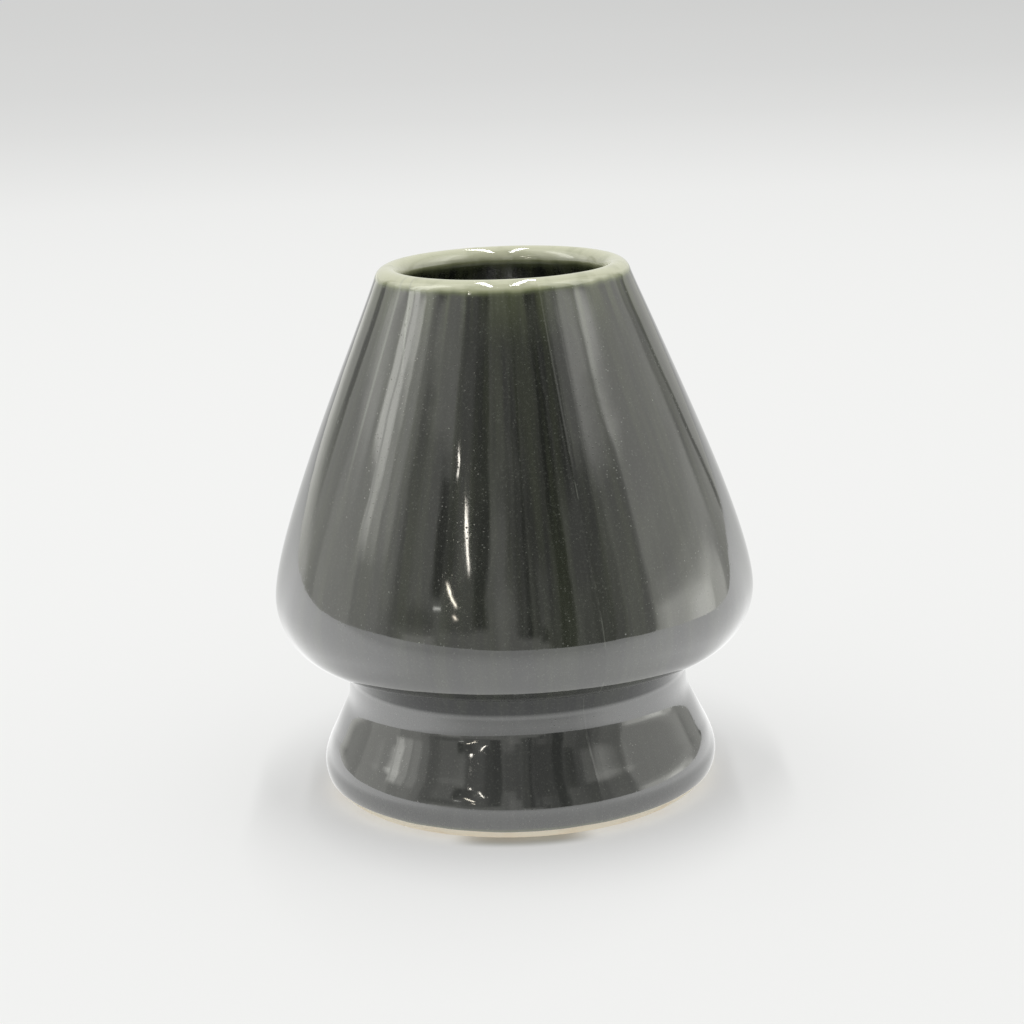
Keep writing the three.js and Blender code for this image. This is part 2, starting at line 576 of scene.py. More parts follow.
@dataclass(frozen=True)
class Grain:
    """A noise: the size of its features, its finer layers and how many times taller they are than wide.

    The shift moves the pattern, so that two alike differ.
    """

    size: float
    layers: float
    upright: float = 1
    rough: float = 0.5
    shift: float = 0


@dataclass(frozen=True)
class Dots:
    """Scattered small dots: one in a share of the cells, from the least to just over the full radius."""

    cell: float
    radius: float
    share: float
    least: float = 0.4


class Graph:
    """A material's node tree, with short words for the nodes that these finishes use."""

    mean_radius = 25 * MM
    first_colour, second_colour, mixed_colour = 6, 7, 2

    def __init__(self, name: str) -> None:
        """Starts an empty material.

        Args:
            name: The material's name.
        """
        self.material = bpy.data.materials.new(name)
        self.material.use_nodes = True
        self.tree = self.material.node_tree
        self.tree.nodes.clear()
        self.place = self.add("TexCoord").outputs["Object"]
        split = self.add("SeparateXYZ")
        self.put(split.inputs[0], self.place)
        self.x, self.y, self.height = split.outputs
        self.out = self.math("SQRT", self.math("MULTIPLY_ADD", self.x, self.x,
                                               self.times(self.y, self.y)))

    def add(self, kind: str) -> bpy.types.Node:
        """Adds a shader node by the last part of its type's name."""
        return self.tree.nodes.new("ShaderNode" + kind)

    def put(self, socket: Socket, value: object) -> None:
        """Links a socket to another, or sets it to a value.

        Args:
            socket: The socket.
            value: The other socket, the number or the colour.
        """
        if isinstance(value, Socket):
            self.tree.links.new(value, socket)
        elif isinstance(value, tuple) and len(value) == 3 and socket.type == "RGBA":
            socket.default_value = (*value, 1)
        else:
            socket.default_value = value

    def math(self, operation: str, *values: object, clamp: bool = False) -> Socket:
        """A Math node.

        Args:
            operation: What it does.
            *values: Up to three values or sockets.
            clamp: Whether the result is held between 0 and 1.

        Returns:
            The result.
        """
        node = self.add("Math")
        node.operation = operation
        node.use_clamp = clamp
        for socket, value in zip(node.inputs, values):
            self.put(socket, value)
        return node.outputs[0]

    def times(self, first: object, second: object) -> Socket:
        """The product of two values or sockets."""
        return self.math("MULTIPLY", first, second)

    def over(self, first: object, second: object) -> Socket:
        """The first value or socket divided by the second."""
        return self.math("DIVIDE", first, second)

    def blend(self, first: object, second: object, share: float) -> Socket:
        """The mean of two values, with the first one's share."""
        return self.math("MULTIPLY_ADD", first, share, self.times(1 - share, second))

    def ease(self, value: object, low: object, high: object, bottom: float = 0,
             top: float = 1) -> Socket:
        """Maps a value smoothly from one range to another.

        Args:
            value: What is mapped.
            low: Where the change begins.
            high: Where it ends.
            bottom: The result up to the beginning.
            top: The result past the end.

        Returns:
            The mapped value.
        """
        node = self.add("MapRange")
        node.interpolation_type = "SMOOTHSTEP"
        for name, setting in (("Value", value), ("From Min", low), ("From Max", high),
                              ("To Min", bottom), ("To Max", top)):
            self.put(node.inputs[name], setting)
        return node.outputs[0]

    def about(self, level: float, value: object, span: Span) -> Socket:
        """Maps a value smoothly near a level.

        Args:
            level: The level.
            value: What is mapped.
            span: Where the change begins and ends, from the level, and the two results if not 0 and 1.

        Returns:
            The mapped value.
        """
        low, high, *results = span
        return self.ease(value, level + low, level + high, *results)

    def window(self, value: object, low: float, high: float, blur: float) -> Socket:
        """One between two values and zero outside them.

        Args:
            value: What is tested.
            low: The lower value.
            high: The upper value.
            blur: How far the change reaches to both sides.

        Returns:
            The mask.
        """
        return self.times(self.ease(value, low - blur, low + blur),
                          self.ease(value, high - blur, high + blur, 1, 0))

    def wrapped(self) -> Socket:
        """Coordinates pulled in to a cylinder, in which a run of glaze down the cone stays upright.

        Returns:
            The coordinates.
        """
        node = self.add("CombineXYZ")
        for socket, value in zip(node.inputs, (self.x, self.y)):
            self.put(socket, self.times(self.over(value, self.out), self.mean_radius))
        self.put(node.inputs[2], self.height)
        return node.outputs[0]

    def noise(self, grain: Grain) -> Socket:
        """A noise over the piece's own coordinates.

        Args:
            grain: Its sizes.

        Returns:
            The noise, from 0 to 1.
        """
        mapping = self.add("Mapping")
        mapping.inputs["Location"].default_value = (grain.shift, grain.shift, grain.shift)
        mapping.inputs["Scale"].default_value = (1, 1, 1 / grain.upright)
        node = self.add("TexNoise")
        node.inputs["Scale"].default_value = 1 / grain.size
        node.inputs["Detail"].default_value = grain.layers
        node.inputs["Roughness"].default_value = grain.rough
        self.put(mapping.inputs["Vector"], self.place if grain.upright == 1 else self.wrapped())
        self.put(node.inputs["Vector"], mapping.outputs[0])
        return node.outputs["Fac"]

    def specks(self, dots: Dots) -> Socket:
        """Scattered small dots.

        Args:
            dots: Their sizes.

        Returns:
            One inside a dot and zero outside.
        """
        node = self.add("TexVoronoi")
        node.inputs["Scale"].default_value = 1 / dots.cell
        self.put(node.inputs["Vector"], self.place)
        chance = self.add("SeparateColor")
        self.put(chance.inputs[0], node.outputs["Color"])
        present = self.math("GREATER_THAN", chance.outputs[0], 1 - dots.share)
        grown = self.math("MULTIPLY_ADD", chance.outputs[1], dots.radius / dots.cell,
                          dots.least * dots.radius / dots.cell)
        return self.times(self.ease(node.outputs["Distance"], 0, grown, 1, 0), present)

    def beside(self, azimuth: float, twist: float, level: float) -> tuple[Socket, Socket]:
        """Measures from an upright plane through the axis that turns with height.

        Args:
            azimuth: The plane's azimuth at the level, in degrees from the front towards +X.
            twist: How far it turns for each metre up, in degrees.
            level: The height at which it has that azimuth.

        Returns:
            The distance from the plane, and the distance along it from the axis.
        """
        angle = self.math("MULTIPLY_ADD", self.math("SUBTRACT", self.height, level),
                          math.radians(twist), math.radians(azimuth))
        cosine, sine = self.math("COSINE", angle), self.math("SINE", angle)
        across = self.math("ADD", self.times(self.x, cosine), self.times(self.y, sine))
        along = self.math("SUBTRACT", self.times(self.x, sine), self.times(self.y, cosine))
        return self.math("ABSOLUTE", across), along

    def mix(self, share: object, first: object, second: object, way: str = "MIX") -> Socket:
        """Mixes two colours.

        Args:
            share: The second colour's share.
            first: The first colour.
            second: The second colour.
            way: How they are mixed.

        Returns:
            The mixed colour.
        """
        node = self.add("Mix")
        node.data_type = "RGBA"
        node.blend_type = way
        self.put(node.inputs["Factor"], share)
        self.put(node.inputs[self.first_colour], first)
        self.put(node.inputs[self.second_colour], second)
        return node.outputs[self.mixed_colour]

    def ramp(self, value: object, stops: tuple[tuple[float, Colour], ...]) -> Socket:
        """A colour ramp.

        Args:
            value: What is looked up in it.
            stops: Its places and their colours.

        Returns:
            The colour.
        """
        node = self.add("ValToRGB")
        elements = node.color_ramp.elements
        while len(elements) < len(stops):
            elements.new(0.5)
        for element, (place, colour) in zip(elements, stops):
            element.position = place
            element.color = (*colour, 1)
        self.put(node.inputs[0], value)
        return node.outputs[0]

    def bump(self, height: object, depth: float, onto: Socket | None = None) -> Socket:
        """A bump, on top of another one if there is one.

        Args:
            height: The height, from 0 to 1.
            depth: How far 1 stands out.
            onto: The bump below.

        Returns:
            The normal.
        """
        node = self.add("Bump")
        node.inputs["Distance"].default_value = depth
        self.put(node.inputs["Height"], height)
        if onto is not None:
            self.put(node.inputs["Normal"], onto)
        return node.outputs[0]

    def surface(self, colour: object, roughness: object, normal: object,
                **constants: object) -> bpy.types.Material:
        """Ends the material with a Principled shader.

        Args:
            colour: The base colour.
            roughness: The roughness.
            normal: The bumped normal.
            **constants: Further sockets, by their names with _ for a space.

        Returns:
            The finished material.
        """
        shader = self.add("BsdfPrincipled")
        self.put(shader.inputs["Base Color"], colour)
        self.put(shader.inputs["Roughness"], roughness)
        self.put(shader.inputs["Normal"], normal)
        for name, value in constants.items():
            self.put(shader.inputs[name.replace("_", " ")], value)
        return self.ended(shader.outputs[0])

    def glow(self, colour: object, strength: object = 1) -> Socket:
        """Light that the surface gives off by itself.

        Args:
            colour: Its colour.
            strength: Its strength.

        Returns:
            The shader. The surface isn't sampled as a lamp.
        """
        self.material.cycles.emission_sampling = "NONE"
        shader = self.add("Emission")
        self.put(shader.inputs["Color"], colour)
        self.put(shader.inputs["Strength"], strength)
        return shader.outputs[0]

    def ended(self, shader: Socket) -> bpy.types.Material:
        """Ends the material with the shader given."""
        self.put(self.add("OutputMaterial").inputs[0], shader)
        return self.material


@dataclass(frozen=True)
class PaleRun:
    """A thin pale line that the glaze left as it ran down from the lip.

    Its azimuth at the top is in degrees from the front towards +X, and its twist in degrees for each
    metre up.
    """

    azimuth: float
    low: float
    high: float
    width: float
    strength: float
    twist: float = 0

    def mask(self, graph: Graph) -> Socket:
        """Where the run shows.

        Args:
            graph: The material's node tree.

        Returns:
            The run's strength at each place.
        """
        across, forward = graph.beside(self.azimuth, self.twist, self.high)
        line = graph.times(graph.ease(across, 0, self.width, self.strength, 0),
                           graph.math("GREATER_THAN", forward, 0))
        return graph.times(line, graph.ease(graph.height, self.low, (self.low + self.high) / 2))


@dataclass(frozen=True)
class GlazeFinish:
    """A dark iron glaze, deep where it is thick and pale celadon where it breaks on an edge."""

    name: str
    casting: Casting
    seam: MouldSeam | None = None
    pale_runs: tuple[PaleRun, ...] = ()
    gloss: Span = (0.035, 0.06)
    index: float = 2.0

    deep: Colour = (0.0122, 0.0136, 0.0112)
    olive: Colour = (0.028, 0.032, 0.020)
    haze: Colour = (0.050, 0.052, 0.050)
    verge: Colour = (0.10, 0.115, 0.055)
    breaking: Colour = (0.30, 0.32, 0.18)
    thin: Colour = (0.62, 0.63, 0.44)
    speck: Colour = (0.36, 0.38, 0.32)
    mirror: Colour = (1.0, 1.0, 1.0)
    # Specular tint in the waist: painted shade that dims the glaze's reflections under the bulge.
    waist_shade_tint: Colour = (0.30, 0.30, 0.31)

    runs: Grain = Grain(2.6 * MM, 2, upright=14)
    fine_runs: Grain = Grain(0.9 * MM, 2, upright=22, shift=3)
    clouds: Grain = Grain(14 * MM, 3, shift=7)
    patches: Grain = Grain(6 * MM, 2, upright=2, shift=13)
    mottle: Grain = Grain(2.4 * MM, 2, shift=17)
    veil: Grain = Grain(1.5 * MM, 3, upright=6, shift=9)
    grit: Grain = Grain(0.3 * MM, 3, rough=0.7, shift=19)
    peel: Grain = Grain(0.8 * MM, 2, shift=11)
    seam_gaps: Grain = Grain(3 * MM, 3, shift=5)
    specks: Dots = Dots(1.7 * MM, 0.13 * MM, 0.4)
    dust: Dots = Dots(0.42 * MM, 0.11 * MM, 0.45)

    fine_share: float = 0.45
    olive_in_streaks: Span = (0.42, 0.66)
    olive_in_clouds: Span = (0.45, 0.75, 0, 0.5)
    haze_about_crease: Span = (-2 * MM, 4 * MM, 0.75, 0)
    verge_below_top: Span = (-9 * MM, 0, 0, 0.55)
    verge_in_runs: Span = (0.35, 0.65)
    run_share: float = 0.3
    break_wander: float = 1.1 * MM
    outer_break: Span = (-2.1 * MM, -0.3 * MM)
    inner_break: Span = (-3.3 * MM, -0.4 * MM)
    foot_break: Span = (1.65 * MM, 2.15 * MM, 0.75, 0)
    verge_until: float = 0.3
    breaking_at: float = 0.55
    thin_from: float = 0.85
    break_shows: Span = (0, 0.35)
    mottle_shows: Span = (0.48, 0.75, 0, 0.4)
    veil_shows: Span = (0.45, 0.75)
    veil_in_clouds: Span = (0.35, 0.7, 0.01, 0.05)
    specks_in_clouds: Span = (0.4, 0.6, 0.25, 1)
    dust_strength: float = 0.3
    mark_strength: float = 0.75
    mark_roughness: float = 0.25
    grit_shows: Span = (0.5, 0.72, 0, 0.09)
    gloss_in_clouds: Span = (0.3, 0.7)
    seam_strength: float = 0.22
    seam_edge: Span = (0.03 * MM, 0.12 * MM, 1, 0)
    seam_gaps_show: Span = (0.48, 0.62)
    seam_worn: Span = (48 * MM, 56 * MM, 1, 0)
    waist_shade_blur: float = 0.35 * MM
    ripple_depth: float = 0.004 * MM
    peel_depth: float = 0.001 * MM
    mark_depth: float = 0.02 * MM

    def thick(self, graph: Graph, runs: Socket, fine_runs: Socket, clouds: Socket) -> Socket:
        """The colour where the glaze is thick: streaked, clouded, and greyer in the waist and below.

        Args:
            graph: The material's node tree.
            runs: The noise of the runs.
            fine_runs: The noise of the finer runs.
            clouds: The slow noise.

        Returns:
            The colour.
        """
        streaks = graph.blend(fine_runs, runs, self.fine_share)
        colour = graph.mix(graph.ease(streaks, *self.olive_in_streaks), self.deep, self.olive)
        colour = graph.mix(graph.ease(clouds, *self.olive_in_clouds), colour, self.olive)
        low = graph.about(self.casting.crease_height, graph.height, self.haze_about_crease)
        colour = graph.mix(low, colour, self.haze)
        near_lip = graph.about(self.casting.height, graph.height, self.verge_below_top)
        return graph.mix(graph.times(near_lip, graph.ease(runs, *self.verge_in_runs)), colour, self.verge)

    def thinness(self, graph: Graph, uneven: Socket) -> Socket:
        """How far the glaze has broken to its pale colour on the lip.

        Args:
            graph: The material's node tree.
            uneven: A noise that makes the break waver.

        Returns:
            The share of the pale colour, from 0 to 1.
        """
        wander = graph.math("MULTIPLY_ADD", uneven, self.break_wander, -self.break_wander / 2)
        level = graph.math("ADD", graph.height, wander)
        outer = graph.about(self.casting.height, level, self.outer_break)
        inner = graph.about(self.casting.height, level, self.inner_break)
        inside = graph.math("LESS_THAN", graph.out, self.casting.lip_radius)
        return graph.math("ADD", outer, graph.times(inside, graph.math("SUBTRACT", inner, outer)),
                          clamp=True)

    def broken(self, graph: Graph, runs: Socket, under: Socket) -> Socket:
        """Lays the pale, broken glaze over the lip and along the glaze line at the foot.

        Args:
            graph: The material's node tree.
            runs: The noise of the runs.
            under: The colour where the glaze is thick.

        Returns:
            The colour.
        """
        thin = self.thinness(graph, graph.blend(runs, graph.noise(self.patches), self.run_share))
        pale = graph.ramp(thin, ((0, self.verge), (self.verge_until, self.verge),
                                 (self.breaking_at, self.breaking), (self.thin_from, self.thin),
                                 (1, self.thin)))
        colour = graph.mix(graph.ease(thin, *self.break_shows), under, pale)
        mottle = graph.ease(graph.noise(self.mottle), *self.mottle_shows)
        colour = graph.mix(graph.times(mottle, thin), colour, self.breaking)
        return graph.mix(graph.ease(graph.height, *self.foot_break), colour, self.verge)

    def seam_line(self, graph: Graph) -> Socket:
        """A broken pale line where the glaze is thinnest, along the mould seam.

        Args:
            graph: The material's node tree.

        Returns:
            The line's strength at each place.
        """
        across, _ = graph.beside(self.seam.azimuth, self.seam.twist, self.seam.middle_height)
        gaps = graph.ease(graph.noise(self.seam_gaps), *self.seam_gaps_show)
        worn = graph.ease(graph.height, *self.seam_worn)
        return graph.times(graph.ease(across, *self.seam_edge), graph.times(gaps, worn))

    def material(self) -> bpy.types.Material:
        """Builds the material.

        Returns:
            The glaze.
        """
        graph = Graph(self.name)
        runs, fine_runs = graph.noise(self.runs), graph.noise(self.fine_runs)
        clouds = graph.noise(self.clouds)
        specks = graph.times(graph.specks(self.specks), graph.ease(clouds, *self.specks_in_clouds))
        marks = graph.math("MAXIMUM", specks, graph.times(graph.specks(self.dust), self.dust_strength))
        pale = [graph.times(graph.ease(graph.noise(self.veil), *self.veil_shows),
                            graph.ease(clouds, *self.veil_in_clouds)),
                graph.times(marks, self.mark_strength),
                *(run.mask(graph) for run in self.pale_runs),
                graph.ease(graph.noise(self.grit), *self.grit_shows)]
        if self.seam is not None:
            pale.append(graph.times(self.seam_line(graph), self.seam_strength))
        colour = self.broken(graph, runs, self.thick(graph, runs, fine_runs, clouds))
        for share in pale:
            colour = graph.mix(share, colour, self.speck)
        roughness = graph.math("MULTIPLY_ADD", marks, self.mark_roughness,
                               graph.ease(clouds, *self.gloss_in_clouds, *self.gloss))
        normal = graph.bump(fine_runs, self.ripple_depth)
        normal = graph.bump(graph.noise(self.peel), self.peel_depth, normal)
        normal = graph.bump(marks, self.mark_depth, normal)
        # Painted shade: the reflections are dimmed in the waist, between the crease and the bulge's
        # underside.
        waist = graph.window(graph.height, self.casting.crease_height, self.casting.underside_height,
                             self.waist_shade_blur)
        return graph.surface(colour, roughness, normal, IOR=self.index,
                             Specular_Tint=graph.mix(waist, self.mirror, self.waist_shade_tint))


@dataclass(frozen=True)
class ClayFinish:
    """Fired cream clay, wiped bare with a sponge."""

    name: str
    cream: Colour = (0.90, 0.83, 0.69)
    toasted: Colour = (0.84, 0.71, 0.53)
    grog: Colour = (0.3, 0.22, 0.15)
    clouds: Grain = Grain(5 * MM, 4)
    grain: Grain = Grain(0.25 * MM, 3, shift=2)
    specks: Dots = Dots(0.9 * MM, 0.06 * MM, 0.4)
    toasted_in_clouds: Span = (0.4, 0.75, 0, 0.7)
    speck_strength: float = 0.6
    roughness_in_grain: Span = (0.3, 0.7, 0.72, 0.9)
    grain_depth: float = 0.012 * MM

    def material(self) -> bpy.types.Material:
        """Builds the material.

        Returns:
            The clay.
        """
        graph = Graph(self.name)
        grain = graph.noise(self.grain)
        toasted = graph.ease(graph.noise(self.clouds), *self.toasted_in_clouds)
        colour = graph.mix(toasted, self.cream, self.toasted)
        colour = graph.mix(graph.times(graph.specks(self.specks), self.speck_strength), colour, self.grog)
        return graph.surface(colour, graph.ease(grain, *self.roughness_in_grain),
                             graph.bump(grain, self.grain_depth))


@dataclass
class TurnedPiece:
    """A piece of the holder turned from a closed outline."""

    name: str
    node: str
    slot: str
    casting: Casting
    columns: int
    spacing: float
    piece: Piece | None = field(default=None, init=False)
    shown: str = field(default="shown", init=False)
    hidden_every: int = field(default=5, init=False)
    near: float = field(default=0.01 * MM, init=False)
    digits: int = field(default=7, init=False)

    def on_face(self, face: list[Vector]) -> Callable[[Vector], bool]:
        """Makes a test for the vertices of one face of the piece.

        Args:
            face: The face's outline points.

        Returns:
            The test, which says whether a place lies on that face.
        """
        radii = {round(point.y, self.digits): point.x for point in face}

        def lies_on(place: Vector) -> bool:
            """Whether the place lies on the face."""
            radius = radii.get(round(place.z, self.digits))
            return radius is not None and abs(radius - math.hypot(place.x, place.y)) <= self.near

        return lies_on

    def mark_shown(self, weight: Callable[[Vector], float]) -> None:
        """Weighs the vertices that show, for the reliefs.

        Args:
            weight: Gives the weight of a place, from 0 where nothing may move to 1.
        """
        group = self.piece.vertex_groups.new(name=self.shown)
        for vertex in self.piece.data.vertices:
            share = weight(vertex.co)
            if share > 0:
                group.add([vertex.index], min(share, 1), "REPLACE")

    def press(self, *reliefs: Relief) -> None:
        """Presses reliefs into the vertices that show."""
        for relief in reliefs:
            relief.press(self.piece, self.shown)

    def hand_over(self, material: bpy.types.Material) -> None:
        """Puts the piece in its node's place, with its finish.

        Args:
            material: The finish.
        """
        self.piece.vertex_groups.clear()
        self.piece.data.materials.clear()
        self.piece.data.materials.append(material)
        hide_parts(self.node)
        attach(self.piece, "root")
        log.info("%s: %d faces, stands for %s", self.name, len(self.piece.data.polygons), self.node)


@dataclass
class OuterCoat(TurnedPiece):
    """The dipped coat, from the wavering glaze line up and over the lip."""

    columns: int = 384
    spacing: float = 0.5 * MM
    seam: MouldSeam = MouldSeam()
    wander: Relief = Relief("slow wander", 19 * MM, 0.16 * MM)
    runs: Relief = Relief("runs", 4.2 * MM, 0.022 * MM, upright=9)
    dimples: Relief = Relief("dimples", 2.2 * MM, 0.010 * MM)
    edge_wander: float = 0.16 * MM
    edge_wander_grain: float = 5 * MM
    edge_drop: float = 0.1 * MM
    edge_oval: float = 0.3 * MM
    edge_hold: int = 3
    edge_bead: float = 0.1 * MM
    foot_fade: float = 2 * MM
    lip_fade: float = 0.7 * MM
    pale_runs: tuple[PaleRun, ...] = (
        PaleRun(-51.5, low=42 * MM, high=70 * MM, width=0.45 * MM, strength=0.3),
        PaleRun(-45, low=58 * MM, high=70 * MM, width=0.3 * MM, strength=0.35, twist=-0.6 / MM),
        PaleRun(-57, low=55 * MM, high=69 * MM, width=0.6 * MM, strength=0.12),
        PaleRun(33, low=52 * MM, high=70 * MM, width=0.9 * MM, strength=0.08, twist=0.2 / MM))

    def build(self) -> None:
        """Models the coat."""
        outside, thickness = self.casting.outside(self.spacing)
        hidden = thinned(shifted(outside, thickness), self.hidden_every)
        self.piece = Bench.turn(self.name, [*outside, *reversed(hidden)], self.columns)
        low, high = outside[0].y, self.casting.lip_centre.y
        on_outside = self.on_face(outside)

        def weight(place: Vector) -> float:
            """One on the outside, less towards the glaze line and the lining, and zero within.

            Args:
                place: The place.

            Returns:
                The weight.
            """
            if not on_outside(place):
                return 0
            over_lip = 1 if place.z < high else self.lip_weight(place)
            return min(1, (place.z - low) / self.foot_fade, over_lip)

        self.mark_shown(weight)
        self.seam.raise_on(self.piece, self.shown)
        self.press(self.wander, self.runs, self.dimples)
        Bench.soften_ring(self.piece, outside[0], self.edge_bead)
        self.wander_edge()
        Bench.smooth(self.piece)

    def lip_weight(self, place: Vector) -> float:
        """The weight on the lip, which fades out towards the lining."""
        out = math.hypot(place.x, place.y) - self.casting.lip_centre.x
        return (out + self.casting.lip_round) / (self.lip_fade + self.casting.lip_round)

    def wander_edge(self) -> None:
        """Lets the coat's lower edge waver along the clay's round edge, lowest in front."""
        centre = self.casting.edge_centre
        for vertex in self.piece.data.vertices:
            out = math.hypot(vertex.co.x, vertex.co.y)
            from_centre = Vector((out, vertex.co.z)) - centre
            if from_centre.y >= 0 or from_centre.x <= 0:
                continue
            angle = math.atan2(from_centre.y, from_centre.x)
            share = (angle / self.casting.glaze_line_angle) ** self.edge_hold
            round_about = Vector((vertex.co.x, vertex.co.y, 0)) / self.edge_wander_grain
            oval = (vertex.co.y ** 2 - vertex.co.x ** 2) / out ** 2
            rise = self.edge_wander * noise.noise(round_about) - self.edge_drop - self.edge_oval * oval
            angle += rise * share / from_centre.length
            moved = centre + from_centre.length * Vector((math.cos(angle), math.sin(angle)))
            vertex.co = Vector((vertex.co.x * moved.x / out, vertex.co.y * moved.x / out, moved.y))

    def dress(self) -> None:
        """Gives the coat its finish."""
        self.hand_over(GlazeFinish("dark glaze", self.casting, self.seam, self.pale_runs).material())


@dataclass
class Lining(TurnedPiece):
    """The poured coat, from inside the lip down to inside the foot."""

    columns: int = 256
    spacing: float = 0.8 * MM
    wander: Relief = Relief("slow wander", 17 * MM, 0.3 * MM)
    runs: Relief = Relief("runs", 5 * MM, 0.06 * MM, upright=7)
    fade: float = 1.5 * MM
    swell: float = 7 * MM
    gloss: Span = (0.12, 0.2)

    def face(self, clay: list[Vector]) -> list[Vector]:
        """The lining's face, which starts where the outer coat ends and swells to its full thickness.

        Args:
            clay: The clay under it.

        Returns:
            The face's outline points.
        """
        steps = len(clay) - 1
        first, last = -self.casting.glaze_in_hollow, -self.casting.glaze_at_edge
        depths = [first + (last - first) * step / steps for step in range(steps + 1)]
        swell = math.ceil(self.swell / self.spacing)
        for step in range(swell):
            share = step / swell
            ease = share * share * (3 - 2 * share)
            depths[step] += (1 - ease) * (self.casting.glaze_in_hollow - self.casting.glaze_on_lip)
        outside, _ = self.casting.outside(self.spacing)
        return [outside[-1], *shifted(clay, depths)[1:]]

    def build(self) -> None:
        """Models the lining."""
        clay = self.casting.lined_hollow(self.spacing)
        face = self.face(clay)
        hidden = thinned(clay, self.hidden_every)
        self.piece = Bench.turn(self.name, [*face, *reversed(hidden)], self.columns)
        low, high = face[-1].y, face[0].y
        on_lining = self.on_face(face)

        def weight(place: Vector) -> float:
            """One on the face, less towards its two ends, and zero behind it."""
            towards_ends = min(1, (place.z - low) / self.fade, (high - place.z) / self.fade)
            return towards_ends if on_lining(place) else 0

        self.mark_shown(weight)
        self.press(self.wander, self.runs)
        Bench.smooth(self.piece)

    def dress(self) -> None:
        """Gives the lining its finish."""
        self.hand_over(GlazeFinish("lining glaze", self.casting, gloss=self.gloss).material())


@dataclass
class ClayBody(TurnedPiece):
    """The fired casting, which shows at the foot ring and the bare band above it."""

    columns: int = 256
    spacing: float = 0.8 * MM
    edge: float = 0.3 * MM
    bare_share: float = 0.9
    sponge_marks: Relief = Relief("sponge marks", 1.6 * MM, 0.03 * MM)

    def build(self) -> None:
        """Models the casting."""
        outside, thickness = self.casting.outside(self.spacing)
        under = thinned(shifted(outside, thickness), self.hidden_every)
        band = self.casting.bare_band(self.spacing / 2)
        hollow = thinned(self.casting.lined_hollow(self.spacing), self.hidden_every)
        heel = self.casting.bare_heel(self.spacing)
        outline = [*band[:-1], *under, *hollow[1:], *heel[1:]]
        self.piece = Bench.turn(self.name, outline, self.columns)
        for place in (band[0], heel[-1]):
            Bench.soften_ring(self.piece, place, self.edge)
        top = self.casting.glaze_line_height * self.bare_share
        self.mark_shown(lambda place: 1 if place.z < top else 0)
        self.press(self.sponge_marks)
        Bench.smooth(self.piece)

    def dress(self) -> None:
        """Gives the clay its finish."""
        self.hand_over(ClayFinish("bare clay").material())


@dataclass(frozen=True)
class ViewPoint:
    """The camera, where the photograph was taken from."""

    place: Vector = field(default_factory=lambda: Vector((0, -335.4, 119.8)) * MM)
    pitch_down: float = 13.83
    yaw: float = -0.01
    roll: float = -2.19
    focal_pixels: float = 2573
    frame_pixels: float = 1024
    sensor: float = 36
    nearest: float = 0.01
    farthest: float = 50

    def build(self) -> None:
        """Adds the camera and makes it the scene's."""
        Bench.clear()
        bpy.ops.object.camera_add()
        camera = bpy.context.active_object
        camera.name = "camera"
        camera.data.sensor_width = self.sensor
        camera.data.lens = self.sensor * self.focal_pixels / self.frame_pixels
        camera.data.clip_start = self.nearest
        camera.data.clip_end = self.farthest
        turn = (Matrix.Rotation(math.radians(self.yaw), 4, "Z")
                @ Matrix.Rotation(math.radians(90 - self.pitch_down), 4, "X")
                @ Matrix.Rotation(math.radians(self.roll), 4, "Z"))
        camera.matrix_world = Matrix.Translation(self.place) @ turn
        bpy.context.scene.camera = camera
        bpy.context.scene.view_settings.view_transform = "Standard"


@dataclass(frozen=True)
class CeilingStrip:
    """One of the long soft lamps overhead, which runs from front to back."""

    name: str
    across: float
    front: float
    back: float
    height: float = 1.2
    width: float = 0.06
    radiance: float = 15

    def build(self) -> None:
        """Adds the strip."""
        Bench.clear()
        middle = (self.front + self.back) / 2
        bpy.ops.object.light_add(type="AREA", location=(self.across, middle, self.height))
        lamp = bpy.context.active_object
        lamp.name = self.name
        lamp.data.shape = "RECTANGLE"
        lamp.data.size = self.width
        lamp.data.size_y = self.back - self.front
        lamp.data.energy = self.radiance * math.pi * self.width * (self.back - self.front)
        lamp.visible_camera = False


